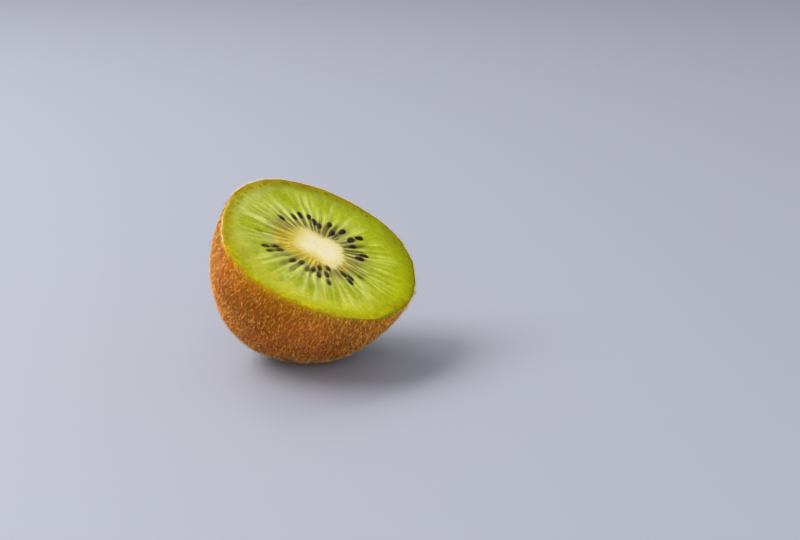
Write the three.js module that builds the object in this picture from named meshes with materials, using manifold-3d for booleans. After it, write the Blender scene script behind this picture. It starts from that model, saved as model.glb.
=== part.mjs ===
// Half of a kiwi fruit, cut across its middle and lying tilted on its rounded end.
//
// Units are millimetres and +Z is up. The fruit lies on the plane z = 0, and the origin is the
// middle of the small flat that it rests on. +X is the way the cut face slopes down, and Y runs
// along the longer axis of the cut face.
//
// The fruit is shaped in a frame of its own: the cut face is the plane z = 0 around its centre,
// the fruit hangs below it, and x runs down the slope. The group then tilts and places it.

import * as THREE from 'three';
import { mergeVertices } from 'three/addons/utils/BufferGeometryUtils.js';
import Module from 'manifold-3d';

// ---- Driving dimensions ----

// The fruit's outline at the cut, and how its side closes towards the rounded end.
const HALF_WIDTH = 25.2;              // half the cut face, measured down its slope
const HALF_LENGTH = 27.7;             // half the cut face, measured across its slope
const DEPTH = 31.5;                   // from the cut face to the rounded end
const SIDE_FULLNESS = 2.04;           // higher keeps the side straighter below the cut
const END_ROUNDNESS = 1.83;           // 2 closes the end like an ellipse
const OUTLINE_WAVES = [               // [bulges round the outline, share of the radius, degrees]
    [3, 0.0128, 36],
    [4, 0.0153, -5],
];

// The dry button where the flower was, at the rounded end.
const BUTTON_RADIUS = 3.4;
const BUTTON_HEIGHT = 1.1;
const DIMPLE_RADIUS = 7.5;
const DIMPLE_DEPTH = 0.7;

// How the fruit lies.
const TILT = THREE.MathUtils.degToRad(32.3);   // slope of the cut face
const CUT_CENTRE = [5.4, -0.2, 29.2];          // the cut face's centre above the resting flat
const FOOT_BLOCK = 80;                         // what lies under the table plane is cut away

// The pale core, a spindle that runs from the cut face into the flesh.
const CORE_RADIUS = 6.45;
const CORE_DEPTH = 21;
const CORE_WAVES = [                  // [bulges round the outline, size, degrees]
    [1, 0.47, -146],
    [2, 0.80, 35],
    [4, 0.45, -13],
    [5, 0.30, 26],
];
const GAP = 0.3;                      // between the core and the flesh round it
const POCKET_RISE = 1;                // how far the core's pocket is cut on above the cut face

// The seeds lie in a ring of narrow seed chambers round the core.
const CHAMBERS = 38;
const SEED_RING = 11.7;               // mean distance of the seeds from the centre
const SEED_RING_WAVES = [
    [1, 1.53, -150],
    [2, 1.52, 50],
];
const SEED_SPREAD = 2.0;              // how far a seed lies inside or outside the ring
const SEED_TURN = 0.4;                // and to either side, in chambers
const SEED_SHOWS = 0.8;               // share of the chambers in which the cut shows a seed
const SEED_PAIRED = 0.17;             // share in which it shows two
const SEED_PAIR_STEP = 2.9;           // from the first seed of a pair to the second
const BARE_STRETCHES = [              // [degrees, half the stretch] where no seed shows
    [23, 13],
    [227, 14],
];
const SEED_LENGTH = 2.2;              // along the radius
const SEED_WIDTH = 1.3;
const SEED_THICKNESS = 0.9;
const SEED_SUNK = 0.15;               // depth of its middle below the cut face
const SEED_SIZE_WAVES = [             // larger on one side of the ring
    [1, 0.15, 75],
];
const SEED_SIZE_RANGE = 0.3;          // random spread of the size between seeds side by side
const RANDOM_START = 310137084;

// Fineness of the surfaces.
const BODY_SEGMENTS = 80;
const BODY_RINGS = 30;
const CORE_SEGMENTS = 40;
const CORE_RINGS = 9;
const SEED_SEGMENTS = 6;
const SEED_RINGS = 4;

// ---- Materials ----

const fleshMaterial = new THREE.MeshStandardMaterial({
    color: 0x9fb62a,
    roughness: 0.45,
    metalness: 0,
});
const coreMaterial = new THREE.MeshStandardMaterial({
    color: 0xefe6b0,
    roughness: 0.5,
    metalness: 0,
});

// ---- Solids ----

const wasm = await Module();
wasm.setup();

// Turns a closed three.js geometry into a solid that can be joined and cut.
function solid(geometry) {
    const bare = geometry.clone();
    bare.deleteAttribute('normal');
    bare.deleteAttribute('uv');
    const merged = mergeVertices(bare);
    const triangles = [];
    for (let i = 0; i < merged.index.count; i += 3) {
        const corners = [0, 1, 2].map((j) => merged.index.getX(i + j));
        if (new Set(corners).size === 3) {
            triangles.push(...corners);
        }
    }
    const mesh = new wasm.Mesh({
        numProp: 3,
        vertProperties: new Float32Array(merged.attributes.position.array),
        triVerts: new Uint32Array(triangles),
    });
    return new wasm.Manifold(mesh);
}

function geometryOf(manifold) {
    const mesh = manifold.getMesh();
    const geometry = new THREE.BufferGeometry();
    geometry.setAttribute('position', new THREE.BufferAttribute(mesh.vertProperties, 3));
    geometry.setIndex(new THREE.BufferAttribute(mesh.triVerts, 1));
    geometry.computeVertexNormals();
    return geometry;
}

// The value of a wavy outline in the direction of an angle in degrees.
function wavy(mean, waves, degrees) {
    let value = mean;
    for (const [count, size, at] of waves) {
        value += size * Math.cos(THREE.MathUtils.degToRad(count * (degrees - at)));
    }
    return value;
}

// How deep the rings of a turned solid lie: 1 at its end, where t is 0, and 0 at the cut.
function depthShare(t) {
    return Math.sin(((1 - t) * Math.PI) / 2);
}

// A solid of revolution that hangs below the cut face. profile(t) gives [radius, depth] for t
// from 0 at its end to 1 at the cut, and stretch(degrees) gives its scale along x and y. A rise
// carries it straight on above the cut.
function turned(profile, rings, segments, stretch, rise) {
    const points = [];
    for (let i = 0; i <= rings; i += 1) {
        const [radius, depth] = profile(i / rings);
        points.push(new THREE.Vector2(radius, -depth));
    }
    if (rise > 0) {
        points.push(new THREE.Vector2(1, rise));
    }
    points.push(new THREE.Vector2(0, rise));
    const geometry = new THREE.LatheGeometry(points, segments);
    geometry.rotateX(Math.PI / 2);
    const position = geometry.attributes.position;
    for (let i = 0; i < position.count; i += 1) {
        const x = position.getX(i);
        const y = position.getY(i);
        const degrees = THREE.MathUtils.radToDeg(Math.atan2(y, x));
        const [alongX, alongY] = stretch(degrees);
        position.setXY(i, x * alongX, y * alongY);
    }
    return solid(geometry);
}

// ---- Flesh ----

// A smooth bump that is 1 at the axis and gone at the given radius.
function bump(radius, reach) {
    const share = Math.min(radius / reach, 1);
    return (1 - share * share) ** 2;
}

function bodyProfile(t) {
    const share = depthShare(t);
    const radius = (1 - share ** SIDE_FULLNESS) ** (1 / END_ROUNDNESS);
    const distance = radius * HALF_WIDTH;
    const dimple = DIMPLE_DEPTH * bump(distance, DIMPLE_RADIUS);
    const button = (DIMPLE_DEPTH + BUTTON_HEIGHT) * bump(distance, BUTTON_RADIUS);
    return [radius, DEPTH * share - dimple + button];
}

function body() {
    const stretch = (degrees) => {
        const share = wavy(1, OUTLINE_WAVES, degrees);
        return [HALF_WIDTH * share, HALF_LENGTH * share];
    };
    return turned(bodyProfile, BODY_RINGS, BODY_SEGMENTS, stretch, 0);
}

// ---- Core ----

// The core's spindle, grown on all its sides by a margin.
function spindle(margin, rise) {
    const profile = (t) => {
        const share = depthShare(t);
        return [Math.sqrt(1 - share * share), (CORE_DEPTH + margin) * share];
    };
    const stretch = (degrees) => {
        const radius = wavy(CORE_RADIUS + margin, CORE_WAVES, degrees);
        return [radius, radius];
    };
    return turned(profile, CORE_RINGS, CORE_SEGMENTS, stretch, rise);
}

// ---- Seeds ----

// Evenly spread numbers from 0 to 1, the same on every run.
function randomNumbers(start) {
    const multiplier = 48271;
    const modulus = 2147483647;
    let state = start;
    return () => {
        state = (state * multiplier) % modulus;
        return state / modulus;
    };
}

function isBare(degrees) {
    return BARE_STRETCHES.some(([middle, half]) => {
        const away = ((((degrees - middle + 180) % 360) + 360) % 360) - 180;
        return Math.abs(away) < half;
    });
}

// Where seeds show: each has its angle in degrees, its distance from the centre and its size.
function seedPlaces() {
    const draw = randomNumbers(RANDOM_START);
    const places = [];
    for (let chamber = 0; chamber < CHAMBERS; chamber += 1) {
        const turn = (draw() * 2 - 1) * SEED_TURN;
        const spread = (draw() * 2 - 1) * SEED_SPREAD;
        const shows = draw();
        const odds = (draw() - 0.5) * SEED_SIZE_RANGE;
        const degrees = (360 * (chamber + turn)) / CHAMBERS;
        if (isBare(degrees) || shows > SEED_SHOWS) {
            continue;
        }
        const nearest = wavy(CORE_RADIUS, CORE_WAVES, degrees) + SEED_LENGTH / 2 + 2 * GAP;
        const distance = Math.max(wavy(SEED_RING, SEED_RING_WAVES, degrees) + spread, nearest);
        const size = wavy(1, SEED_SIZE_WAVES, degrees) + odds;
        places.push({ degrees, distance, size });
        if (shows < SEED_PAIRED) {
            places.push({ degrees, distance: distance + SEED_PAIR_STEP, size });
        }
    }
    return places;
}

function seed({ degrees, distance, size }) {
    const geometry = new THREE.SphereGeometry(0.5, SEED_SEGMENTS, SEED_RINGS);
    geometry.scale(SEED_LENGTH * size, SEED_WIDTH * size, SEED_THICKNESS * size);
    geometry.translate(distance, 0, -SEED_SUNK);
    geometry.rotateZ(THREE.MathUtils.degToRad(degrees));
    return solid(geometry);
}

// ---- The half fruit ----

const half = new THREE.Group();
half.rotation.y = TILT;
half.position.set(...CUT_CENTRE);
half.updateMatrixWorld();

// What would lie under the table plane, in the fruit's own frame.
function underTable() {
    const block = new THREE.BoxGeometry(FOOT_BLOCK, FOOT_BLOCK, FOOT_BLOCK);
    block.translate(0, 0, -FOOT_BLOCK / 2);
    block.applyMatrix4(half.matrixWorld.clone().invert());
    return solid(block);
}

function fleshSolid() {
    const pocket = spindle(GAP, POCKET_RISE);
    let flesh = body().subtract(pocket).subtract(underTable());
    for (const place of seedPlaces()) {
        flesh = flesh.add(seed(place));
    }
    return flesh;
}

const flesh = new THREE.Mesh(geometryOf(fleshSolid()), fleshMaterial);
flesh.name = 'flesh';
half.add(flesh);

const core = new THREE.Mesh(geometryOf(spindle(0, 0)), coreMaterial);
core.name = 'core';
half.add(core);

const kiwiHalf = new THREE.Group();
kiwiHalf.add(half);

export default kiwiHalf;
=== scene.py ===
"""Half of a kiwi fruit: its looks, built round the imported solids.

Shapes are worked out in millimetres in the fruit's own frame, as in the part's source: the cut
face is the plane z = 0 round its centre, the fruit hangs below it, and x runs down the slope.
to_row() tilts them, places them and turns them into metres.
"""

import math
from typing import NamedTuple

import bpy
import numpy as np
from mathutils import Matrix, Vector


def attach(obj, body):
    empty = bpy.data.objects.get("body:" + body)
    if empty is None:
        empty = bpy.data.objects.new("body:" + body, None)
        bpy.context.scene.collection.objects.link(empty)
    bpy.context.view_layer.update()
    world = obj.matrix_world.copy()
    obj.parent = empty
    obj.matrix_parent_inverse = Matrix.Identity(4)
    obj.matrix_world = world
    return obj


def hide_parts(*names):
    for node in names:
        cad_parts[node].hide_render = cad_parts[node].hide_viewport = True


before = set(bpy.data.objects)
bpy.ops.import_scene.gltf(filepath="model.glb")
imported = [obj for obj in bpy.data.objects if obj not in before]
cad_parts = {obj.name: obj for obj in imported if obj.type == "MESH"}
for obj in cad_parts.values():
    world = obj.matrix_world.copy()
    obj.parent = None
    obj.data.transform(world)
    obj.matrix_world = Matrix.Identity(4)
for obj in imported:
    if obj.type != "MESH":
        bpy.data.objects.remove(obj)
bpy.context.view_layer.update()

# ---- Sizes of the solids, in mm and degrees, as in the part's source ----

HALF_WIDTH = 25.2
HALF_LENGTH = 27.7
DEPTH = 31.5
SIDE_FULLNESS = 2.04
END_ROUNDNESS = 1.83
OUTLINE_WAVES = [(3, 0.0128, 36), (4, 0.0153, -5)]
BUTTON_RADIUS = 3.4
BUTTON_HEIGHT = 1.1
DIMPLE_RADIUS = 7.5
DIMPLE_DEPTH = 0.7
TILT = math.radians(32.3)
CUT_CENTRE = np.array([5.4, -0.2, 29.2])
CORE_RADIUS = 6.45
CORE_DEPTH = 21
CORE_WAVES = [(1, 0.47, -146), (2, 0.80, 35), (4, 0.45, -13), (5, 0.30, 26)]
GAP = 0.3
CHAMBERS = 38
SEED_RING = 11.7
SEED_RING_WAVES = [(1, 1.53, -150), (2, 1.52, 50)]
SEED_SPREAD = 2.0
SEED_TURN = 0.4
SEED_SHOWS = 0.8
SEED_PAIRED = 0.17
SEED_PAIR_STEP = 2.9
BARE_STRETCHES = [(23, 13), (227, 14)]
SEED_LENGTH = 2.2
SEED_WIDTH = 1.3
SEED_THICKNESS = 0.9
SEED_SUNK = 0.15
SEED_SIZE_WAVES = [(1, 0.15, 75)]
SEED_SIZE_RANGE = 0.3
RANDOM_START = 310137084

MM = 0.001

# ---- Colours, as red, green and blue from 0 to 255 ----

CORE_MIDDLE = (224, 212, 168)
CORE_EDGE = (218, 202, 136)
CORE_YELLOW = (206, 184, 84)
INNER_FLESH = (144, 134, 60)
MIDDLE_FLESH = (166, 173, 46)
PALE_FLESH = (190, 197, 104)
VIVID_FLESH = (158, 168, 8)
OUTER_FLESH = (156, 162, 27)
# RIM_LOW is lighter than RIM_HIGH, partly as a painted glow towards the camera; RIM_GOLD is partly a
# painted glow at the very edge.
RIM_LOW = (160, 154, 4)
RIM_HIGH = (128, 130, 0)
RIM_FLECK = (104, 88, 0)
RIM_GOLD = (160, 122, 4)
YELLOW_FLESH = (186, 158, 34)
GEL = (80, 76, 24)
LANE = (136, 147, 36)
INNER_RAY = (196, 190, 122)
OUTER_RAY = (204, 210, 120)
YELLOW_RAY = (214, 192, 92)
SEED_SHADOW = (56, 48, 12)
SEED_BLACK = (34, 22, 6)
SEED_BROWN = (66, 50, 22)
PULP = (196, 178, 92)
SKIN = (158, 85, 18)
SKIN_SPECK = (104, 54, 8)
# The next colour is golden partly as a painted glow through the thin edge, and the one after it is a
# painted sheen where the fuzz on the left catches the light.
SKIN_EDGE = (176, 138, 14)
SHEEN_SKIN_EDGE = (212, 192, 112)
BUTTON = (58, 36, 14)
FAR_SKIN_EDGE = (138, 134, 14)

# What a hair's colour is multiplied by, as linear values from the dullest hair to the brightest.
BROWN_TONES = ((0.22, 0.15, 0.08, 1), (1.34, 1.29, 1.09, 1))
GOLDEN_TONES = ((0.36, 0.28, 0.02, 1), (1.34, 1.35, 0.24, 1))


def linear(colour):
    """A colour from 0 to 255 as the linear values that shaders take."""
    share = np.clip(np.asarray(colour, float) / 255, 0, 1)
    return np.where(share <= 0.04045, share / 12.92, ((share + 0.055) / 1.055) ** 2.4)


# ---- Noise and curves ----


def hashed(cells, seed):
    """A fixed random number from 0 to 1 for each cell of whole numbers."""
    cells = cells.astype(np.uint32)
    mixed = cells[:, 0] * np.uint32(0x8DA6B343)
    mixed ^= cells[:, 1] * np.uint32(0xD8163841)
    mixed ^= cells[:, 2] * np.uint32(0xCB1AB31F)
    mixed ^= np.uint32(seed * 0x9E3779B1 & 0xFFFFFFFF)
    for shift, factor in ((16, 0x7FEB352D), (15, 0x846CA68B)):
        mixed ^= mixed >> np.uint32(shift)
        mixed *= np.uint32(factor)
    mixed ^= mixed >> np.uint32(16)
    return mixed / 2.0**32


def noise(points, cell, seed):
    """Smooth noise from -1 to 1 in space, with features about as large as a cell."""
    scaled = points / cell
    low = np.floor(scaled).astype(np.int64)
    share = scaled - low
    share = share * share * (3 - 2 * share)
    total = np.zeros(len(points))
    for corner in range(8):
        step = np.array([corner & 1, corner >> 1 & 1, corner >> 2 & 1])
        weight = np.prod(np.where(step == 1, share, 1 - share), axis=1)
        total += weight * hashed(low + step, seed)
    return total * 2 - 1


def streaks(degrees, distance, count, length, seed):
    """Noise from -1 to 1 that runs along the radius: about count streaks round the circle."""
    angle = np.radians(degrees)
    reach = count / (2 * math.pi)
    points = np.stack([reach * np.cos(angle), reach * np.sin(angle), distance / length], axis=1)
    return noise(points, 1.0, seed)


def smooth(value, low, high):
    """0 below low, 1 above high and a smooth step between."""
    share = np.clip((value - low) / (high - low), 0, 1)
    return share * share * (3 - 2 * share)


def mix(first, second, share):
    """Colours between two, by a share for each place. Either can be one colour for all places."""
    first = np.asarray(first, float)
    return first + (np.asarray(second, float) - first) * share[:, None]


def near_angle(degrees, middle, full, none):
    """1 up to an angle away from the middle one, falling to 0 at a larger angle."""
    return 1 - smooth(np.abs((degrees - middle + 180) % 360 - 180), full, none)


def wavy(mean, waves, degrees):
    """The value of a wavy outline in the direction of an angle in degrees."""
    value = np.full(np.shape(degrees), float(mean))
    for count, size, at in waves:
        value = value + size * np.cos(np.radians(count * (degrees - at)))
    return value


# ---- The fruit's frame ----


def to_row(points, floor=0.0):
    """Points of the fruit's own frame in mm, as places in the row's frame in metres. None lies
    lower than the floor, in mm above the table."""
    x = points[:, 0] * math.cos(TILT) + points[:, 2] * math.sin(TILT) + CUT_CENTRE[0]
    y = points[:, 1] + CUT_CENTRE[1]
    z = points[:, 2] * math.cos(TILT) - points[:, 0] * math.sin(TILT) + CUT_CENTRE[2]
    return np.stack([x, y, np.maximum(z, floor)], axis=1) * MM


# ---- The fruit's outside ----

NORMAL_TURN = 0.4             # degrees and t from a place to those that give its normal
NORMAL_STEP = 0.004
CUT_LUMPS_DEPTH = 1.2         # mm below the cut in which the knife's lumps fade
END_T = 0.004                 # t where the skin's point at the rounded end is worked out


def bump(radius, reach):
    """A smooth bump that is 1 at the axis and gone at the given radius."""
    return (1 - np.minimum(radius / reach, 1) ** 2) ** 2


def even_surface(degrees, t):
    """The fruit's outside without its lumps: t runs from 0 at the rounded end to 1 at the cut."""
    share = np.sin((1 - t) * math.pi / 2)
    radius = np.maximum(1 - share**SIDE_FULLNESS, 0) ** (1 / END_ROUNDNESS)
    distance = radius * HALF_WIDTH
    depth = DEPTH * share - DIMPLE_DEPTH * bump(distance, DIMPLE_RADIUS)
    depth = depth + (DIMPLE_DEPTH + BUTTON_HEIGHT) * bump(distance, BUTTON_RADIUS)
    outline = radius * wavy(1, OUTLINE_WAVES, degrees)
    x = HALF_WIDTH * outline * np.cos(np.radians(degrees))
    y = HALF_LENGTH * outline * np.sin(np.radians(degrees))
    return np.stack([x, y, -depth], axis=1)


def unit(vectors):
    """Vectors of length 1 in the same directions."""
    return vectors / np.maximum(np.linalg.norm(vectors, axis=1), 1e-12)[:, None]


def outside(degrees, t):
    """The lumpy outside of the skin, with its normals and the directions down its side."""
    round_it = even_surface(degrees + NORMAL_TURN, t) - even_surface(degrees - NORMAL_TURN, t)
    higher = np.minimum(t + NORMAL_STEP, 1)
    up_it = even_surface(degrees, higher) - even_surface(degrees, t - NORMAL_STEP)
    normals = unit(np.cross(round_it, up_it))
    points = even_surface(degrees, t)
    lumps = 0.17 * noise(points, 9.0, 1) + 0.07 * noise(points, 3.4, 2)
    lumps = lumps + 0.03 * noise(points, 1.3, 3) + 0.018 * noise(points, 0.55, 4)
    near_cut = np.exp(points[:, 2] / CUT_LUMPS_DEPTH)
    lumps = lumps + near_cut * (0.20 * noise(points, 2.6, 5) + 0.08 * noise(points, 1.1, 6))
    return points + normals * lumps[:, None], normals, -unit(up_it)


def skin_points(degrees, t, inward, highest=0.0):
    """Points of the skin, moved inward by a depth, and none above a height."""
    points, normals, _ = outside(degrees, t)
    points = points - normals * inward
    points[:, 2] = np.minimum(points[:, 2], highest)
    return points


def end_point(inward):
    """The skin's point on its axis at the rounded end, moved inward by a depth."""
    return skin_points(np.zeros(1), np.full(1, END_T), inward) * [0, 0, 1]


# ---- Seeds: where they lie ----


def random_numbers(start):
    """Evenly spread numbers from 0 to 1, the same as in the part's source."""
    multiplier = 48271
    modulus = 2147483647
    state = start
    while True:
        state = (state * multiplier) % modulus
        yield state / modulus


def seed_places():
    """Where seeds show, as [degrees, distance, size] rows, and each chamber's own angle."""
    draw = random_numbers(RANDOM_START)
    places = []
    angles = []
    for chamber in range(CHAMBERS):
        turn = (next(draw) * 2 - 1) * SEED_TURN
        spread = (next(draw) * 2 - 1) * SEED_SPREAD
        shows = next(draw)
        odds = (next(draw) - 0.5) * SEED_SIZE_RANGE
        degrees = 360 * (chamber + turn) / CHAMBERS
        angles.append(degrees)
        bare = any(abs((degrees - at + 180) % 360 - 180) < half for at, half in BARE_STRETCHES)
        if bare or shows > SEED_SHOWS:
            continue
        nearest = wavy(CORE_RADIUS, CORE_WAVES, degrees) + SEED_LENGTH / 2 + 2 * GAP
        distance = max(wavy(SEED_RING, SEED_RING_WAVES, degrees) + spread, nearest)
        size = wavy(1, SEED_SIZE_WAVES, degrees) + odds
        places.append([degrees, distance, size])
        if shows < SEED_PAIRED:
            places.append([degrees, distance + SEED_PAIR_STEP, size])
    return np.array(places), np.array(angles)


SEEDS, CHAMBER_ANGLES = seed_places()

# ---- The pattern of the cut face ----
#
# Angles go round the cut face from its centre: 0 is down its slope, 90 away from the camera, 180
# up its slope and 270 towards the camera. Colours that are added here are red, green and blue
# from 0 to 255, and can be below 0.

chamber_draw = np.random.default_rng(11)
SEED_DISTANCES = wavy(SEED_RING, SEED_RING_WAVES, CHAMBER_ANGLES)
GEL_ENDS = SEED_DISTANCES + chamber_draw.normal(3.4, 0.8, CHAMBERS)
GEL_DEPTHS = chamber_draw.uniform(0.55, 1.0, CHAMBERS)
RAY_ENDS = chamber_draw.normal(19.8, 1.6, CHAMBERS)
RAY_LIGHTS = chamber_draw.uniform(0.5, 1.0, CHAMBERS)


def chamber_at(degrees):
    """Which chamber an angle lies in: a whole number in its middle, and a half at a wall."""
    angles = np.concatenate([CHAMBER_ANGLES[-1:] - 360, CHAMBER_ANGLES, CHAMBER_ANGLES[:1] + 360])
    return np.interp(degrees, angles, np.arange(-1, CHAMBERS + 1))


def sunk_seeds():
    """Seeds that lie just below the cut, as [degrees, distance, how much they show]."""
    draw = np.random.default_rng(13)
    distances = SEED_DISTANCES + draw.uniform(-1.5, 2.5, CHAMBERS)
    shows = draw.uniform(-0.5, 0.6, CHAMBERS)
    return np.column_stack([CHAMBER_ANGLES, distances, shows])[shows > 0]


def seed_shade(at):
    """How dark seeds in or under the gel make a place, from 0 to 1."""
    shade = np.zeros(len(at.x))
    marks = [(degrees, distance, 0.8, 0.35, 0.75) for degrees, distance, _ in SEEDS]
    marks += [(degrees, distance, shows, 0.1, 0.8) for degrees, distance, shows in sunk_seeds()]
    for degrees, distance, shows, dark, clear in marks:
        angle = math.radians(degrees)
        along = at.x * math.cos(angle) + at.y * math.sin(angle)
        across = at.y * math.cos(angle) - at.x * math.sin(angle)
        reach = np.hypot((along - distance) / SEED_LENGTH, across / SEED_WIDTH)
        shade = np.maximum(shade, shows * (1 - smooth(reach, dark, clear)))
    return shade


class CutPlaces:
    """Places on the cut face, with the noises that its parts share."""

    def __init__(self, x, y):
        flat = np.stack([x, y, np.zeros(len(x))], axis=1)
        self.x = x
        self.y = y
        self.distance = np.hypot(x, y)
        self.degrees = np.degrees(np.arctan2(y, x)) % 360
        self.from_core = self.distance - wavy(CORE_RADIUS, CORE_WAVES, self.degrees)
        self.from_rim = rim_radius(self.degrees) - self.distance
        self.fine = streaks(self.degrees, self.distance, 480, 3.0, 21)
        self.broad = streaks(self.degrees, self.distance, 150, 6.0, 22)
        self.cloud = noise(flat, 5.0, 23)
        self.blotch = noise(flat, 2.0, 25)
        self.grain = noise(flat, 0.7, 24)


def ray_pattern(at):
    """Rays along the walls between the chambers, gel in the chambers, and the darker lanes that
    run out from them, each from 0 to 1."""
    chamber = chamber_at((at.degrees + 1.6 * at.cloud + 0.5 * at.blotch) % 360)
    middle = np.rint(chamber).astype(int) % CHAMBERS
    beside = np.floor(chamber).astype(int) % CHAMBERS
    share = 2 * np.abs(chamber - np.floor(chamber) - 0.5)
    aside = share * math.pi * at.distance / CHAMBERS
    width = np.interp(at.distance, [7, 11, 16, 21], [0.15, 0.28, 0.55, 0.95])
    ray = 0.6 * np.exp(-((aside / width) ** 2)) + 0.4 * np.exp(-((aside / (2.6 * width)) ** 2))
    ray = ray * RAY_LIGHTS[beside] * smooth(at.from_core, -0.8, 0.6)
    ray_end = RAY_ENDS[beside] - 3.5 * near_angle(at.degrees, 340, 28, 55)
    ray = ray * (1 - smooth(at.distance, ray_end - 6.0, ray_end + 1.0))
    hollow = smooth(aside, 0.7 * width, 0.7 * width + 0.35) * GEL_DEPTHS[middle]
    further_out = near_angle(at.degrees, 288, 25, 52)
    gel_end = GEL_ENDS[middle] - 3.0 * (1 - share) + 2.4 * further_out
    gel = hollow * smooth(at.from_core - 3.2 * further_out, 0.2, 1.4)
    gel = gel * (1 - 0.65 * near_angle(at.degrees, 2, 8, 22))
    gel = gel * (1 - smooth(at.distance, gel_end - 2.5, gel_end))
    lane = hollow * smooth(at.distance, gel_end - 2.0, gel_end)
    lane = lane * (1 - smooth(at.distance, gel_end + 1.5, gel_end + 6.0))
    return ray, gel, lane


def ground_tints(at, yellow):
    """The flesh and its rays from the core out: towards the rim warmer and lighter towards the camera
    and darker on the far side, partly its own tone and partly painted light; paler on the left and
    the lower right, and yellow where that is asked for."""
    # Partly painted light: the outer flesh is made warmer and lighter towards the camera and darker
    # on the far side.
    warm_and_lit = np.cos(np.radians(at.degrees - 300))[:, None] * [16, 13, 0]
    milky = np.cos(np.radians(at.degrees - 215))[:, None] * [0, 0, 1]
    lower = near_angle(at.degrees, 300, 30, 100)[:, None]
    right = near_angle(at.degrees, 322, 20, 50)[:, None]
    left = near_angle(at.degrees, 200, 24, 50)[:, None]
    outer = OUTER_FLESH + warm_and_lit + 30 * milky + lower * [1, -6, 0]
    outer = outer + right * [2, 2, 12] + left * [10, 9, 22]
    flesh = MIDDLE_FLESH + 10 * milky + lower * [0, -6, 8]
    flesh = flesh + right * [18, 16, 28] + left * [9, 7, 18]
    flesh = mix(flesh, outer, smooth(at.distance, 17.5, 24.0))
    flesh = mix(INNER_FLESH, flesh, smooth(at.distance, 9.0, 13.0))
    rays = OUTER_RAY + 18 * milky + lower * [4, -3, 8]
    rays = mix(INNER_RAY, rays, smooth(at.distance, 9.0, 14.0))
    return mix(flesh, YELLOW_FLESH, 0.85 * yellow), mix(rays, YELLOW_RAY, yellow)


def seed_ring_dimness(at):
    """How much the flesh round the core is dimmed, from 0 to 1, in three directions."""
    dim = np.maximum(near_angle(at.degrees, 28, 12, 28), near_angle(at.degrees, 92, 12, 28))
    dim = np.maximum(dim, 0.7 * near_angle(at.degrees, 205, 10, 24))
    return dim * smooth(at.from_core, 1.0, 2.5)


def flesh_tint(at, ray, gel, lane, yellow):
    """The flesh with its gel, lanes, rays and seed shadows, then its streaks and clouds. On the
    far side the gel is darker and the rays are fainter. Both are fainter on the left and right,
    and towards the camera only the rays are."""
    upper = near_angle(at.degrees, 100, 20, 90)
    near = near_angle(at.degrees, 292, 24, 50) * (1 - smooth(at.distance, 14.0, 19.0))
    near = near * smooth(at.from_core, 2.0, 5.0)
    calm = np.maximum(near_angle(at.degrees, 165, 28, 52), near_angle(at.degrees, 348, 24, 44))
    calm = calm * smooth(at.distance, 8.5, 11.0)
    gel = gel * (1 - 0.3 * calm)
    ray = ray * (1 - 0.25 * calm)
    tint, rays = ground_tints(at, yellow)
    tint = mix(tint, GEL, gel * (0.5 + 0.45 * upper + 0.12 * near) * (1 - 0.5 * yellow))
    tint = mix(tint, LANE, (0.75 - 0.25 * upper) * lane)
    tint = mix(tint, rays, (0.95 - 0.25 * upper - 0.3 * near) * ray)
    dim = seed_ring_dimness(at)
    tint = tint * (1 - 0.13 * dim * (1 - smooth(at.distance, 12.5, 16.0)))[:, None]
    tint = mix(tint, SEED_SHADOW, seed_shade(at))

    streaky = smooth(at.from_core, 0, 2) * (1 - smooth(at.distance + at.cloud, 20, 24))
    vivid = smooth(-at.broad - 0.6 * at.cloud, -0.1, 0.7)
    tint = mix(tint, VIVID_FLESH, 0.7 * vivid * (streaky * smooth(at.distance, 12, 15)))
    pale = smooth(at.broad + 0.6 * at.cloud, 0.1, 0.8) * streaky * (1 - 0.8 * near)
    tint = mix(tint, PALE_FLESH, 0.5 * pale)
    tint = tint * (1 - 0.06 * near)[:, None]
    inner = 1 - smooth(at.distance, 11, 15)
    change = (0.03 + 0.13 * inner) * at.fine + (0.06 + 0.08 * inner) * at.broad
    change = change * streaky + 0.05 * at.cloud + 0.03 * at.blotch + 0.045 * at.grain
    return tint * (1 + change)[:, None]


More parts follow.
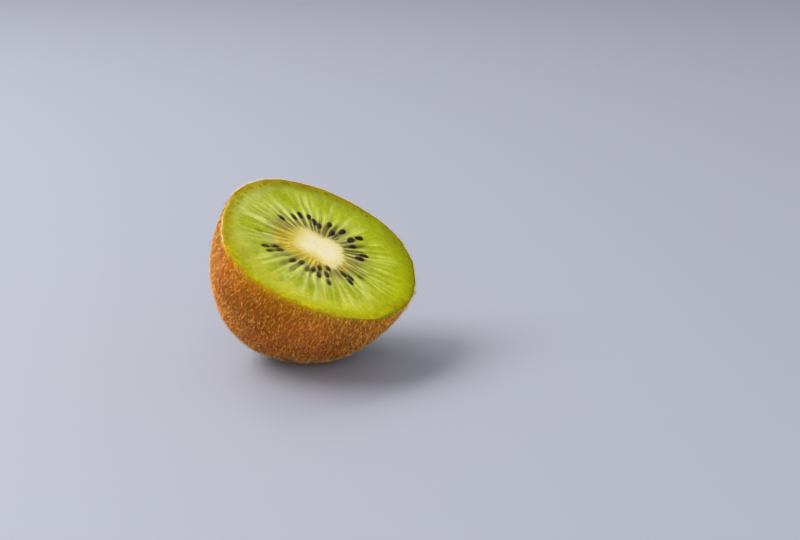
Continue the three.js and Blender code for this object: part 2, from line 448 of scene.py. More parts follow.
def rim_tint(at, tint):
    """Towards the skin the flesh turns deep yellow-green, lighter towards the camera and darker on
    the far side, with olive flecks on its upper side. Its very edge is golden towards the camera, a
    thin brown line on the right and pale on the left. The lighter rim and the golden edge are partly
    a painted glow of light through the thin flesh and skin, and the pale edge is a painted sheen."""
    # Partly painted glow: the rim is lighter towards the camera and on the lower right, and darker on
    # the far side.
    high = 0.5 + 0.5 * np.cos(np.radians(at.degrees - 85))
    rim = mix(RIM_LOW, RIM_HIGH, high) * (1 + 0.10 * at.grain + 0.08 * at.blotch)[:, None]
    rim = rim + near_angle(at.degrees, 325, 20, 45)[:, None] * [14, 13, 0]
    tint = mix(tint, rim, 0.85 * (1 - smooth(at.from_rim + 0.6 * at.cloud, 0.5, 4.0)))
    flecks = smooth(at.grain + 0.5 * at.fine, 0.15, 0.6) * (1 - smooth(at.from_rim, 1.5, 3.6))
    tint = mix(tint, RIM_FLECK, 0.7 * flecks * near_angle(at.degrees, 140, 60, 110))
    thin = (1 - smooth(at.from_rim + 0.15 * at.grain, 0.1, 0.7)) * near_angle(at.degrees, 28, 26, 46)
    tint = mix(tint, RIM_FLECK, 0.55 * thin)
    # Partly painted glow: the golden edge, strongest towards the camera and weaker on the left up the
    # slope.
    reach = 1.4 + 1.6 * near_angle(at.degrees, 155, 25, 55)
    golden = 1 - smooth(at.from_rim + 0.5 * at.grain + 0.4 * at.blotch, 0.0, reach)
    around = 0.6 * near_angle(at.degrees, 165, 40, 70)
    around = np.maximum(near_angle(at.degrees, 270, 40, 75), around)
    tint = mix(tint, RIM_GOLD, (0.1 + 0.75 * around) * golden)
    # Painted sheen: the pale edge on the left, where the fuzz catches the light.
    pale = near_angle(at.degrees, 226, 14, 34) * (1 - smooth(at.from_rim + 0.2 * at.grain, 0.1, 0.5))
    return mix(tint, SHEEN_SKIN_EDGE, 0.55 * pale)


def cut_pattern(x, y):
    """The height of the cut face in mm and its colour, at places in mm."""
    at = CutPlaces(x, y)
    ray, gel, lane = ray_pattern(at)
    yellow = near_angle(at.degrees, 265, 40, 95)
    yellow = np.maximum(yellow, 0.45 * near_angle(at.degrees, 5, 15, 50))
    yellow_end = 4.8 + 2.2 * near_angle(at.degrees, 222, 18, 45)
    yellow = yellow * smooth(at.from_core, -2.0, 0.3)
    yellow = yellow * (1 - smooth(at.from_core, yellow_end - 3.3, yellow_end))
    tint = rim_tint(at, flesh_tint(at, ray, gel, lane, yellow))

    ragged = at.from_core + 0.6 * at.fine + 0.5 * at.broad
    ragged = ragged - 1.3 * near_angle(at.degrees, 338, 6, 24)
    softness = 0.95 - 0.5 * near_angle(at.degrees, 15, 55, 90)
    in_core = 1 - smooth((ragged - 0.15) / softness, -1, 1)
    heart = mix(CORE_MIDDLE, CORE_EDGE, 1 - smooth(-at.from_core, 0.0, 3.2))
    ripe = near_angle(at.degrees, 235, 45, 115) * smooth(at.from_core, -4.5, 0.5)
    heart = mix(heart, CORE_YELLOW, 0.75 * ripe)
    heart = heart * (1 + 0.02 * at.fine + 0.015 * at.blotch + 0.01 * at.grain)[:, None]
    tint = mix(tint, heart, in_core)

    height = 0.05 * ray - 0.14 * gel * (1 - in_core) + 0.05 * at.cloud + 0.012 * at.grain
    height = height + 0.02 * at.fine * smooth(at.from_core, 0, 2)
    return height - 0.08 * (1 - smooth(at.from_rim, 0.0, 0.8)), tint


# ---- Meshes ----


def build_mesh(name, points, quads, triangles):
    """A mesh object of points in metres, with faces of four corners and of three."""
    mesh = bpy.data.meshes.new(name)
    corners = np.concatenate([np.ravel(quads), np.ravel(triangles)]).astype(np.int32)
    sizes = np.concatenate([np.full(len(quads), 4), np.full(len(triangles), 3)]).astype(np.int32)
    starts = np.concatenate([[0], np.cumsum(sizes)[:-1]]).astype(np.int32)
    mesh.vertices.add(len(points))
    mesh.vertices.foreach_set("co", points.astype(np.float32).ravel())
    mesh.loops.add(len(corners))
    mesh.loops.foreach_set("vertex_index", corners)
    mesh.polygons.add(len(sizes))
    mesh.polygons.foreach_set("loop_start", starts)
    mesh.polygons.foreach_set("use_smooth", np.ones(len(sizes), bool))
    mesh.update(calc_edges=True)
    mesh.validate()
    piece = bpy.data.objects.new(name, mesh)
    bpy.context.scene.collection.objects.link(piece)
    return piece


def ring_faces(rings, around):
    """Faces of a closed skin: a first point, rings of points, and a last point."""
    index = 1 + np.arange(rings * around).reshape(rings, around)
    after = np.roll(index, -1, axis=1)
    quads = np.stack([index[:-1], index[1:], after[1:], after[:-1]], axis=-1).reshape(-1, 4)
    last = 1 + rings * around
    first_fan = np.stack([np.zeros(around, int), index[0], after[0]], axis=1)
    last_fan = np.stack([np.full(around, last), after[-1], index[-1]], axis=1)
    return quads, np.concatenate([first_fan, last_fan])


def repeated(faces, copies, points):
    """The faces of a number of copies, from those of the first and the points that each has."""
    offsets = np.arange(copies)[:, None, None] * points
    return (faces[None] + offsets).reshape(-1, faces.shape[1])


def set_tint(piece, tint):
    """Paints a mesh's points with colours from 0 to 255, for its material to read."""
    attribute = piece.data.attributes.new("tint", "FLOAT_COLOR", "POINT")
    rgba = np.concatenate([linear(tint), np.ones((len(tint), 1))], axis=1)
    attribute.data.foreach_set("color", rgba.astype(np.float32).ravel())


# ---- Material nodes ----


class Nodes:
    """Adds nodes to one new material."""

    def __init__(self, name):
        self.material = bpy.data.materials.new(name)
        self.material.use_nodes = True
        self.tree = self.material.node_tree
        self.shader = self.tree.nodes["Principled BSDF"]

    def add(self, kind, inputs, **settings):
        """Adds a node of a kind, with values or other nodes' outputs for its inputs."""
        node = self.tree.nodes.new(kind)
        for setting, value in settings.items():
            setattr(node, setting, value)
        for socket, value in inputs.items():
            self.fill(node.inputs[socket], value)
        return node

    def fill(self, socket, value):
        """Links an input to another node's output, or gives it a value of its own."""
        if isinstance(value, bpy.types.NodeSocket):
            self.tree.links.new(value, socket)
        else:
            socket.default_value = value

    def surface(self, **inputs):
        """Fills the shader's own inputs, named with _ for each space."""
        for socket, value in inputs.items():
            self.fill(self.shader.inputs[socket.replace("_", " ")], value)

    def place(self):
        """Where a point of the surface lies, in metres in the row's frame."""
        return self.add("ShaderNodeTexCoord", {}).outputs["Object"]

    def tint(self):
        """The colour that set_tint() painted."""
        return self.add("ShaderNodeAttribute", {}, attribute_name="tint").outputs["Color"]

    def noise(self, scale, detail=2.0, roughness=0.5):
        """Noise in space, with a scale of so many cells a metre."""
        inputs = {"Vector": self.place(), "Scale": scale, "Detail": detail, "Roughness": roughness}
        return self.add("ShaderNodeTexNoise", inputs).outputs["Fac"]

    def ramp(self, value, low, high):
        """Stretches a value so that low becomes 0 and high becomes 1."""
        inputs = {"Value": value, "From Min": low, "From Max": high}
        return self.add("ShaderNodeMapRange", inputs).outputs["Result"]

    def colours(self, share, first, second, blend="MIX"):
        """Blends two colours. A Mix node's colours are its inputs 6 and 7 and its output 2."""
        settings = {"data_type": "RGBA", "blend_type": blend}
        node = self.add("ShaderNodeMix", {"Factor": share, 6: first, 7: second}, **settings)
        return node.outputs[2]

    def bump(self, height, strength, distance):
        """Normals that make the surface look bumpy, to a depth in metres."""
        inputs = {"Height": height, "Strength": strength, "Distance": distance}
        return self.add("ShaderNodeBump", inputs).outputs["Normal"]


def rgba(colour):
    """A colour from 0 to 255 as a colour socket takes it."""
    return (*[float(c) for c in linear(colour)], 1.0)


def grey(value):
    """A grey of a linear value as a colour socket takes it."""
    return (value, value, value, 1)


def flesh_material(name, contrast=0.1):
    """Moist flesh: the painted colour with fine cells, and light that goes a little way in."""
    nodes = Nodes(name)
    tint = nodes.tint()
    cells = nodes.noise(2600, 3.0, 0.6)
    shade = nodes.colours(nodes.ramp(cells, 0.35, 0.65), grey(1 - contrast), grey(1 + contrast))
    wetness = {"Value": nodes.noise(900, 2.0), "To Min": 0.34, "To Max": 0.56}
    rough = nodes.add("ShaderNodeMapRange", wetness).outputs["Result"]
    nodes.surface(
        Base_Color=nodes.colours(1.0, tint, shade, "MULTIPLY"),
        Roughness=rough,
        Specular_IOR_Level=0.03,
        Subsurface_Weight=0.4,
        Subsurface_Radius=(1.0, 1.0, 0.35),
        Subsurface_Scale=0.4 * MM,
        Normal=nodes.bump(cells, 0.5, 0.06 * MM),
    )
    return nodes.material


def skin_material():
    """Thin dry skin: the painted browns, mottled, with scurfy specks."""
    nodes = Nodes("kiwi_skin")
    tint = nodes.tint()
    mottle = nodes.ramp(nodes.noise(900, 4.0, 0.6), 0.35, 0.65)
    shade = nodes.colours(mottle, (0.76, 0.72, 0.66, 1), grey(1.15))
    colour = nodes.colours(1.0, tint, shade, "MULTIPLY")
    specks = nodes.ramp(nodes.noise(2600, 2.0, 0.6), 0.52, 0.66)
    colour = nodes.colours(specks, colour, nodes.colours(0.5, colour, rgba(SKIN_SPECK)))
    nodes.surface(
        Base_Color=colour,
        Roughness=0.75,
        Specular_IOR_Level=0.05,
        Normal=nodes.bump(nodes.noise(1500, 3.0, 0.6), 0.6, 0.12 * MM),
    )
    return nodes.material


def seed_material():
    """Dark seeds, some of them browner, with faint pits and a moist sheen."""
    nodes = Nodes("kiwi_seed")
    tint = nodes.tint()
    pits = nodes.noise(3200, 2.0)
    shade = nodes.colours(nodes.ramp(pits, 0.35, 0.65), (0.3, 0.28, 0.25, 1), grey(1.5))
    nodes.surface(
        Base_Color=nodes.colours(1.0, tint, shade, "MULTIPLY"),
        Roughness=0.4,
        Specular_IOR_Level=0.15,
        Normal=nodes.bump(pits, 0.5, 0.05 * MM),
    )
    return nodes.material


def hair_material(name, root, tip):
    """Hair that goes from a darker root to a lighter tip, each tuft with a tone of its own. Tones
    up to a half are brown ones from dull to bright, and those above are golden ones."""
    nodes = Nodes(name)
    uv = nodes.add("ShaderNodeUVMap", {}, uv_map=HAIR_UV).outputs["UV"]
    split = nodes.add("ShaderNodeSeparateXYZ", {"Vector": uv})
    colour = nodes.colours(split.outputs["Y"], rgba(root), rgba(tip))
    share = split.outputs["X"]
    brown = nodes.colours(nodes.ramp(share, 0.02, 0.48), *BROWN_TONES)
    golden = nodes.colours(nodes.ramp(share, 0.52, 0.98), *GOLDEN_TONES)
    tone = nodes.colours(nodes.ramp(share, 0.49, 0.51), brown, golden)
    nodes.surface(
        Base_Color=nodes.colours(1.0, colour, tone, "MULTIPLY"),
        Roughness=0.6,
        Specular_IOR_Level=0.05,
    )
    return nodes.material


# ---- Flesh and core ----

AROUND = 800                  # points round the cut face
CUT_RINGS = 74                # rings of points from the core to the rim
CORE_RINGS = 30
SIDE_RINGS = 12               # down the outside, and down the core and its pocket
SKIN_THICKNESS = 0.12
SKIN_BELOW_CUT = 0.04         # the skin's edge lies this much below the cut face
EDGE = 0.03                   # how far below the cut the core's and the pocket's sides start
FIRST_CUT_RING = 0.0015       # rings close to the core's edge keep it crisp, as shares of the
LAST_CORE_RING = 0.995        # way from that edge to the rim, and from the centre to that edge

ANGLES = np.arange(0, 360, 360 / AROUND)
DIRECTIONS = np.stack([np.cos(np.radians(ANGLES)), np.sin(np.radians(ANGLES))], axis=1)
CORE_EDGE_POINTS = DIRECTIONS * wavy(CORE_RADIUS, CORE_WAVES, ANGLES)[:, None]
RIM_POINTS = skin_points(ANGLES, np.ones(AROUND), SKIN_THICKNESS / 2)


def rim_radius(degrees):
    """How far the flesh reaches from the cut's centre, in the direction of an angle."""
    polar = np.degrees(np.arctan2(RIM_POINTS[:, 1], RIM_POINTS[:, 0])) % 360
    order = np.argsort(polar)
    reach = np.hypot(RIM_POINTS[:, 0], RIM_POINTS[:, 1])
    return np.interp(degrees, polar[order], reach[order], period=360)


def spindle_rings(margin, height):
    """Rings down the core's side, or down its pocket, a margin wider than the core."""
    rings = []
    for ring in range(SIDE_RINGS):
        depth = math.sin(ring / SIDE_RINGS * math.pi / 2)
        reach = CORE_EDGE_POINTS * math.sqrt(1 - depth * depth)
        if ring:
            reach = reach + DIRECTIONS * margin
        low = height - EDGE - CORE_DEPTH * depth
        rings.append(np.column_stack([reach, low]))
    return np.concatenate(rings)


def make_flesh():
    """The flesh out to the middle of the skin, with the relief of the cut face and the pocket
    that holds the core. Rings run from the pocket's bottom up, out to the rim and down the side."""
    edge_height, _ = cut_pattern(*CORE_EDGE_POINTS.T)
    pocket = spindle_rings(GAP, edge_height).reshape(SIDE_RINGS, AROUND, 3)[::-1].reshape(-1, 3)
    shares = np.append([0.0, FIRST_CUT_RING], np.arange(1, CUT_RINGS + 1) / CUT_RINGS)
    across = (RIM_POINTS[None, :, :2] - CORE_EDGE_POINTS) * shares[:, None, None]
    cut = (CORE_EDGE_POINTS + across).reshape(-1, 2)
    height, tint = cut_pattern(*cut.T)
    sides = []
    for ring in range(1, SIDE_RINGS):
        t = np.full(AROUND, 1 - ring / SIDE_RINGS)
        sides.append(skin_points(ANGLES, t, SKIN_THICKNESS / 2))
    end = end_point(SKIN_THICKNESS / 2)
    bottom = np.array([[0, 0, -CORE_DEPTH - GAP]])
    points = np.concatenate([bottom, pocket, np.column_stack([cut, height]), *sides, end])
    rings = (len(points) - 2) // AROUND
    inner = np.tile(CORE_EDGE, (1 + len(pocket), 1))
    outer = np.tile(RIM_LOW, (len(points) - len(inner) - len(tint), 1))
    piece = build_mesh("flesh_body", to_row(points, SKIN_THICKNESS / 2), *ring_faces(rings, AROUND))
    set_tint(piece, np.concatenate([inner, tint, outer]))
    piece.data.materials.append(flesh_material("kiwi_flesh"))
    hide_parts("flesh")
    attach(piece, "root")


def make_core():
    """The core's spindle, level with the cut face, its top painted as part of the cut."""
    shares = np.append(np.arange(1, CORE_RINGS) / CORE_RINGS, [LAST_CORE_RING, 1.0])
    rings_of_cut = (CORE_EDGE_POINTS * shares[:, None, None]).reshape(-1, 2)
    cut = np.concatenate([[[0.0, 0.0]], rings_of_cut])
    height, tint = cut_pattern(*cut.T)
    side = spindle_rings(0, height[-AROUND:])
    end = np.array([[0, 0, -CORE_DEPTH]])
    points = np.concatenate([np.column_stack([cut, height]), side, end])
    rings = (len(points) - 2) // AROUND
    piece = build_mesh("core_body", to_row(points), *ring_faces(rings, AROUND))
    set_tint(piece, np.concatenate([tint, np.tile(CORE_EDGE, (len(side) + 1, 1))]))
    piece.data.materials.append(flesh_material("kiwi_core", 0.03))
    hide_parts("core")
    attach(piece, "root")


# ---- Skin ----

SKIN_AROUND = 520
SKIN_RINGS = 130
SKIN_INNER_RINGS = 10


def edge_tint(points):
    """The skin next to the cut: golden on the low side, partly a painted glow through the thin edge,
    olive on the far side, and pale on the left, a painted sheen where the fuzz catches the light.
    """
    degrees = np.degrees(np.arctan2(points[:, 1], points[:, 0]))
    tint = mix(SKIN_EDGE, FAR_SKIN_EDGE, near_angle(degrees, 75, 95, 135))
    return mix(tint, SHEEN_SKIN_EDGE, near_angle(degrees, 226, 14, 34))


def skin_tint(points):
    """Colours of the bare skin at points of the fruit: patchy browns, the dark button at the
    rounded end, and the edge's colours next to the cut, which are partly painted glow and sheen."""
    patches = noise(points, 6.0, 41) + 0.6 * noise(points, 2.2, 42)
    tint = np.asarray(SKIN) * (1 + 0.13 * patches)[:, None]
    redder = tint * [1.02, 0.95, 0.92]
    tint = mix(tint, redder, smooth(noise(points, 7.0, 43), 0.0, 0.5))
    from_end = np.hypot(points[:, 0], points[:, 1]) + 0.6 * noise(points, 1.0, 45)
    tint = mix(tint, BUTTON, (1 - smooth(from_end, 1.6, 4.0)) * (points[:, 2] < -DEPTH / 2))
    depth = -points[:, 2] + 0.5 * noise(points, 1.5, 44)
    # Next to the cut the skin takes the edge colours, partly painted glow and painted sheen.
    near_cut = 0.6 * (1 - smooth(depth, 0.1, 1.9)) + 0.32 * np.exp(-np.maximum(depth, 0) / 4.5)
    return mix(tint, edge_tint(points), near_cut)


def make_skin():
    """The skin as a thin closed shell, from the inside of its end up to the cut and down again."""
    angles = np.arange(0, 360, 360 / SKIN_AROUND)
    inner = []
    for ring in range(1, SKIN_INNER_RINGS + 1):
        t = np.full(SKIN_AROUND, ring / SKIN_INNER_RINGS)
        inner.append(skin_points(angles, t, SKIN_THICKNESS, -SKIN_BELOW_CUT))
    outer = []
    for ring in range(SKIN_RINGS, 0, -1):
        t = np.full(SKIN_AROUND, ring / SKIN_RINGS)
        outer.append(skin_points(angles, t, 0.0, -SKIN_BELOW_CUT))
    inner = np.concatenate([end_point(SKIN_THICKNESS), *inner])
    outer = np.concatenate([*outer, end_point(0.0)])
    places = np.concatenate([to_row(inner, SKIN_THICKNESS), to_row(outer)])
    faces = ring_faces(SKIN_INNER_RINGS + SKIN_RINGS, SKIN_AROUND)
    piece = build_mesh("skin", places, *faces)
    set_tint(piece, skin_tint(np.concatenate([inner, outer])))
    piece.data.materials.append(skin_material())
    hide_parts("flesh")
    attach(piece, "root")


# ---- Seeds ----

SEED_AROUND = 20
SEED_SLICES = 12


def seed_shape():
    """A seed of length, width and thickness 1, rounder outwards and pointed inwards."""
    along = -np.cos(np.arange(1, SEED_SLICES) / SEED_SLICES * math.pi)
    girth = np.sqrt(1 - along**2) * (1 + 0.30 * along)
    angles = np.arange(SEED_AROUND) / SEED_AROUND * 2 * math.pi
    rings = [
        np.stack([np.full(SEED_AROUND, x), wide * np.cos(angles), wide * np.sin(angles)], axis=1)
        for x, wide in zip(along, girth)
    ]
    points = np.concatenate([[[-1.0, 0, 0]], *rings, [[1.0, 0, 0]]]) / 2
    quads, triangles = ring_faces(SEED_SLICES - 1, SEED_AROUND)
    return points, quads[:, ::-1], triangles[:, ::-1]


def make_seeds():
    """Seeds that differ in size, lean and depth. Those towards the camera are smaller and
    browner."""
    shape, quads, triangles = seed_shape()
    draw = np.random.default_rng(12)
    lower = near_angle(SEEDS[:, 0], 270, 60, 110)
    brown = np.clip(0.1 + 0.5 * lower + draw.normal(0, 0.2, len(SEEDS)), 0, 1)
    points = []
    for (degrees, distance, size), low in zip(SEEDS, lower):
        size = size * (1.04 - 0.12 * low)
        sized = shape * [SEED_LENGTH * size, SEED_WIDTH * size, SEED_THICKNESS * size]
        sized = sized * draw.normal([1.0, 0.9, 1.0], [0.10, 0.10, 0.05])
        lean = Matrix.Rotation(draw.normal(0, 0.12), 3, "Y")
        turn = Matrix.Rotation(math.radians(degrees) + draw.normal(0, 0.22), 3, "Z")
        sized = sized @ np.array(turn @ lean).T
        angle = math.radians(degrees)
        depth = SEED_SUNK + draw.uniform(0, 0.05 + 0.2 * smooth(1.1 - size, 0.0, 0.2))
        points.append(sized + [distance * math.cos(angle), distance * math.sin(angle), -depth])
    faces = [repeated(part, len(SEEDS), len(shape)) for part in (quads, triangles)]
    piece = build_mesh("seeds", to_row(np.concatenate(points)), *faces)
    tint = mix(SEED_BLACK, SEED_BROWN, brown)
    set_tint(piece, np.repeat(tint, len(shape), axis=0))
    piece.data.materials.append(seed_material())
    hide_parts("flesh")
    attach(piece, "root")


# ---- A bead of pulp on the rim ----

PULP_PLACE = (33, 0.985)      # its angle, and how far up the side
PULP_SIZE = (1.5, 1.3, 0.9)   # out from the skin, round the rim and down the side
PULP_OUT = 0.2                # how far its middle stands out from the skin


def make_pulp():
    """A lumpy bead, made from a seed's shape."""
    shape, quads, triangles = seed_shape()
    base, normals, down = outside(*(np.array([value]) for value in PULP_PLACE))
    axes = np.concatenate([normals, np.cross(normals, down), down])
    lumpy = shape * (1 + 0.3 * noise(shape, 0.35, 61))[:, None] * PULP_SIZE
    points = base + normals * PULP_OUT + lumpy @ axes
    piece = build_mesh("pulp", to_row(points), quads, triangles)
    set_tint(piece, np.tile(PULP, (len(points), 1)))
    piece.data.materials.append(flesh_material("kiwi_pulp"))
    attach(piece, "root")


# ---- Hairs ----

HAIR_UV = "OFBake"            # x is a hair's tone, and y runs from its root to its tip
HAIR_SIDES = 3
HAIR_SUNK = 0.08              # how far below the skin's outside a hair starts
HAIR_FLOOR = 0.01             # hairs stay this much above the table
TUFT_SPREAD = 0.035           # how far a tuft's hairs stand from its middle
GOLDEN_FADE = 4.5             # how far below the cut bright and golden hairs get rare


class Hair(NamedTuple):
    """One kind of hair, with its sizes in mm. A kind grows thickest at the first angle of around,
    and as far as the second on both sides. Where that is 360 it is even all round."""

    name: str
    root: tuple
    tip: tuple
    length: float
    width: float
    rise: float               # how much it stands out, against how much it leans
    lean: float               # towards the rounded end
    bent: bool
    tuft: int                 # hairs in a tuft
    count: int
    span: tuple = (0.03, 1)   # the lowest and highest t on the fruit's outside where it grows
    around: tuple = (0, 360)


HAIR_KINDS = [
    Hair("hairs_golden", (238, 160, 64), (238, 196, 112), 1.25, 0.066, 0.5, 1.4, True, 3, 18000),
    Hair("hairs_brown", (230, 140, 44), (240, 187, 98), 1.10, 0.062, 0.5, 1.4, False, 3, 42000),
    Hair("hairs_dark", (146, 76, 6), (196, 116, 38), 1.00, 0.052, 0.5, 2.0, False, 1, 32000),
    # Pale tips, partly a painted sheen: they stand for the pale fringe where the fuzz catches the
    # light.
    Hair("hairs_fine", (216, 164, 104), (240, 217, 180), 0.66, 0.038, 1.8, 0.4, False, 1, 26000),
    # Cream tips, partly a painted backlight on the hairs along the far rim.
    Hair(
        "hairs_rim", (214, 168, 84), (244, 216, 160), 0.75, 0.042, 0.9, -0.3, False, 1, 6500,
        span=(0.98, 1), around=(115, 115),
    ),
    Hair(
        "hairs_button", (84, 52, 22), (150, 108, 60), 1.30, 0.110, 1.0, 0.8, True, 1, 260,
        span=(0.004, 0.075),
    ),
]


def hair_bases(kind, draw):
    """Places spread over the skin where a kind grows, as the angle and t of each tuft."""
    count = kind.count // kind.tuft
    steps = np.linspace(0, 1, 400)
    side = even_surface(np.zeros(len(steps)), steps)
    slant = np.hypot(np.diff(side[:, 0]), np.diff(side[:, 2]))
    area = np.concatenate([[0], np.cumsum(slant * (side[1:, 0] + side[:-1, 0]))])
    first, last = np.interp(kind.span, steps, area)
    t = np.interp(draw.uniform(first, last, count), area, steps)
    middle, reach = kind.around
    degrees = middle + reach * (draw.random(count) + draw.random(count) - 1)
    return degrees, np.minimum(t, 0.998)


def jitter(draw, vectors, size):
    """Vectors that are each moved a little at random."""
    return vectors + draw.normal(0, size, vectors.shape)


def hair_tones(base, degrees, draw):
    """A tone for each tuft: brown ones from 0.02 to 0.48 and golden ones from 0.52 to 0.98. Near
    the cut more are bright, most of all on the lower right, and more are golden, partly as a painted
    glow through the thin edge; but fewer are golden on the left and right. Lower down on the left
    they are brighter, a painted sheen where the fuzz catches the light."""
    # Partly painted glow: tufts near the cut are brighter, most of all on the lower right.
    near_rim = np.exp((base[:, 2] + 0.8 * noise(base, 2.5, 52)) / GOLDEN_FADE)
    bright = 0.25 * near_rim + 0.15 * noise(base, 4.0, 53)
    bright = bright - 0.4 * near_angle(degrees, 222, 14, 30) * near_rim
    lower_right = 0.9 * near_angle(degrees, 338, 28, 46) - 0.2 * near_angle(degrees, 289, 10, 24)
    bright = bright + lower_right * near_rim
    # Painted sheen: lower down on the left the tufts are brighter, where the fuzz catches the light
    # along the outline.
    bright = bright + 0.35 * near_angle(degrees, 225, 35, 75) * smooth(-base[:, 2], 6, 16)
    tone = smooth(draw.random(len(base)) + bright, 0.16, 0.64)
    golden_share = near_rim * (1 - 0.9 * near_angle(degrees, 220, 30, 65))
    golden_share = golden_share * (1 - 0.6 * near_angle(degrees, 342, 24, 50))
    golden = draw.random(len(base)) < golden_share
    return 0.02 + 0.46 * tone + 0.5 * golden


def make_hairs(kind, seed):
    """Tufts of short stiff hairs: slim three-sided spikes that bend towards the rounded end."""
    draw = np.random.default_rng(seed)
    degrees, t = hair_bases(kind, draw)
    base, normals, down = outside(degrees, t)
    aside = np.cross(normals, down)
    length = kind.length * np.clip(draw.lognormal(0, 0.30, len(t)), 0.4, 1.8)
    swirl = 0.7 * noise(base, 5.0, 51) + draw.normal(0, 0.6, len(t))
    first = normals * kind.rise * draw.uniform(0.5, 1.5, len(t))[:, None]
    first = unit(first + down * draw.normal(kind.lean, 0.3, len(t))[:, None] + aside * swirl[:, None])
    second = unit(first + down * draw.uniform(0, 0.6, len(t))[:, None] - 0.25 * normals)
    tone = hair_tones(base, degrees, draw)

    tufts = (base, normals, aside, first, second, length, tone)
    hairs = [np.repeat(each, kind.tuft, axis=0) for each in tufts]
    base, normals, aside, first, second, length, tone = hairs
    count = len(tone)
    base = jitter(draw, base, TUFT_SPREAD)
    base = base - normals * HAIR_SUNK
    first = unit(jitter(draw, first, 0.10))
    second = unit(jitter(draw, second, 0.10))
    length = length * draw.uniform(0.75, 1.1, count)
    radius = kind.width / 2 * draw.uniform(0.7, 1.2, count)
    middle = base + first * (length * 0.5)[:, None]
    end = middle + second * (length * 0.5)[:, None]
    across = unit(np.cross(first, aside + 0.3 * normals))
    other = np.cross(first, across)
    centres = [(base, 1.0), (middle, 0.8)] if kind.bent else [(base, 1.0)]
    points = []
    for centre, share in centres:
        for corner in range(HAIR_SIDES):
            angle = 2 * math.pi * corner / HAIR_SIDES
            offset = across * math.cos(angle) + other * math.sin(angle)
            points.append(to_row(centre + offset * (radius * share)[:, None], HAIR_FLOOR))
    points.append(to_row(end, HAIR_FLOOR))
    points = np.stack(points, axis=1)
    tip = points.shape[1] - 1
    quads = np.array([[0, 1, 4, 3], [1, 2, 5, 4], [2, 0, 3, 5]])[: 3 if kind.bent else 0]
    sides = [[tip - 3, tip - 2, tip], [tip - 2, tip - 1, tip], [tip - 1, tip - 3, tip]]
    triangles = np.array([*sides, [2, 1, 0]])
    faces = [repeated(part, count, tip + 1) for part in (quads, triangles)]
    piece = build_mesh(kind.name, points.reshape(-1, 3), *faces)
    along = np.array([0, 0, 0, 0.5, 0.5, 0.5, 1.0] if kind.bent else [0, 0, 0, 1.0])
    corners = np.zeros(len(piece.data.loops), np.int32)
    piece.data.loops.foreach_get("vertex_index", corners)
    uv = np.stack([tone[corners // (tip + 1)], along[corners % (tip + 1)]], axis=1)
    layer = piece.data.uv_layers.new(name=HAIR_UV)
    layer.data.foreach_set("uv", uv.astype(np.float32).ravel())
    piece.data.materials.append(hair_material("kiwi_" + kind.name, kind.root, kind.tip))
    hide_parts("flesh")
    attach(piece, "root")


# ---- Floor, light and camera ----

AZIMUTH = math.radians(35.56)
ELEVATION = math.radians(15)
FOCAL_PIXELS = 1625
PICTURE_WIDTH = 800
SENSOR_WIDTH = 36
CAMERA_DISTANCE = 400
CUT_LEFT_OF_CENTRE = 19.68    # mm that the cut's centre shows left of the picture's centre
CUT_ABOVE_CENTRE = 5.51
RIGHT = np.array([math.cos(AZIMUTH), math.sin(AZIMUTH), 0])          # as the camera sees it
LEVEL_BACK = np.array([math.sin(AZIMUTH), -math.cos(AZIMUTH), 0])    # level, to the camera
STRAIGHT_UP = np.array([0, 0, 1])

LIGHTS = [                    # [name, direction as right, level back and up, watts]
    ("left_softbox", (-1.0, 0.0, 1.0), 15.6),
    ("back_softbox", (-0.7, -0.7, 1.0), 6.0),
    ("front_fill", (0.0, 1.0, 0.47), 4.5),
    ("low_fill", (0.2, 1.0, 0.08), 6.5),
]
LIGHT_TARGET = (0, 0, 0.02)   # in metres, as are the next three
LIGHT_DISTANCE = 1.2
LIGHT_SIZE = 0.8
FLOOR_HALF = 4.0
FLOOR_GREY = (0.313, 0.320, 0.364, 1)
ROOM_GREY = (0.80, 0.83, 0.92, 1)
ROOM_LIGHT = 0.57


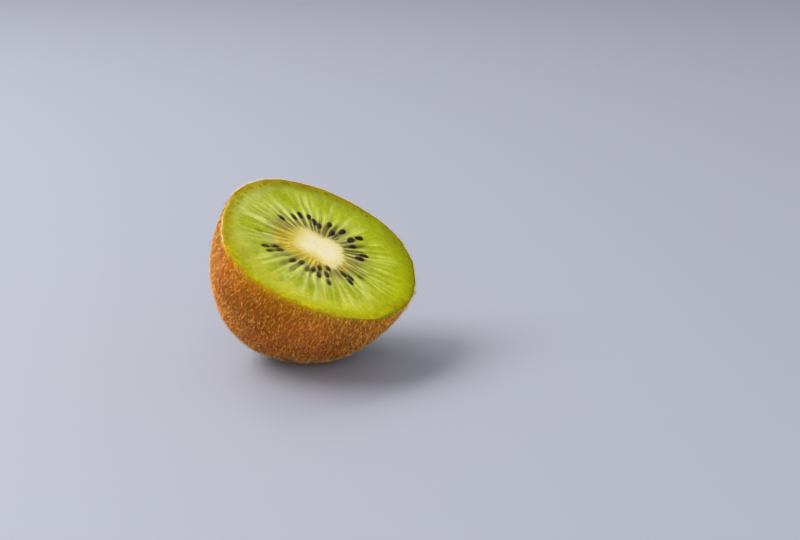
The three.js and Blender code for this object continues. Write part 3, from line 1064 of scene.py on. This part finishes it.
def make_camera():
    """The camera at the photo's angle, with the fruit where the photo shows it."""
    back = LEVEL_BACK * math.cos(ELEVATION) + STRAIGHT_UP * math.sin(ELEVATION)
    up = np.cross(back, RIGHT)
    place = CUT_CENTRE + RIGHT * CUT_LEFT_OF_CENTRE - up * CUT_ABOVE_CENTRE + back * CAMERA_DISTANCE
    camera = bpy.data.cameras.new("camera")
    camera.sensor_width = SENSOR_WIDTH
    camera.lens = FOCAL_PIXELS / PICTURE_WIDTH * SENSOR_WIDTH
    camera.clip_start = 0.01
    camera.clip_end = 20
    piece = bpy.data.objects.new("camera", camera)
    matrix = Matrix(np.stack([RIGHT, up, back], axis=1)).to_4x4()
    matrix.translation = Vector(place * MM)
    piece.matrix_world = matrix
    bpy.context.scene.collection.objects.link(piece)
    bpy.context.scene.camera = piece


def make_light(name, direction, energy):
    """A soft square light that shines on the fruit from a direction, as LIGHTS gives it."""
    towards = RIGHT * direction[0] + LEVEL_BACK * direction[1] + STRAIGHT_UP * direction[2]
    towards = Vector(towards / np.linalg.norm(towards))
    light = bpy.data.lights.new(name, "AREA")
    light.shape = "SQUARE"
    light.size = LIGHT_SIZE
    light.energy = energy
    piece = bpy.data.objects.new(name, light)
    piece.location = Vector(LIGHT_TARGET) + towards * LIGHT_DISTANCE
    piece.rotation_euler = towards.to_track_quat("Z", "Y").to_euler()
    bpy.context.scene.collection.objects.link(piece)


def make_floor():
    """A plain pale floor at the table's height."""
    points = np.array([[-1, -1, 0], [1, -1, 0], [1, 1, 0], [-1, 1, 0]]) * FLOOR_HALF
    floor = build_mesh("floor", points, [[0, 1, 2, 3]], np.zeros((0, 3), int))
    nodes = Nodes("floor")
    nodes.surface(Base_Color=FLOOR_GREY, Roughness=0.6)
    floor.data.materials.append(nodes.material)


def make_surroundings():
    """Even light from all round, with colours shown as they are."""
    world = bpy.data.worlds.new("studio")
    bpy.context.scene.world = world
    world.use_nodes = True
    background = world.node_tree.nodes["Background"]
    background.inputs["Color"].default_value = ROOM_GREY
    background.inputs["Strength"].default_value = ROOM_LIGHT
    bpy.context.scene.view_settings.view_transform = "Standard"


make_camera()
make_floor()
make_surroundings()
for light in LIGHTS:
    make_light(*light)
make_flesh()
make_core()
make_skin()
make_seeds()
make_pulp()
for number, kind in enumerate(HAIR_KINDS):
    make_hairs(kind, seed=31 + number)
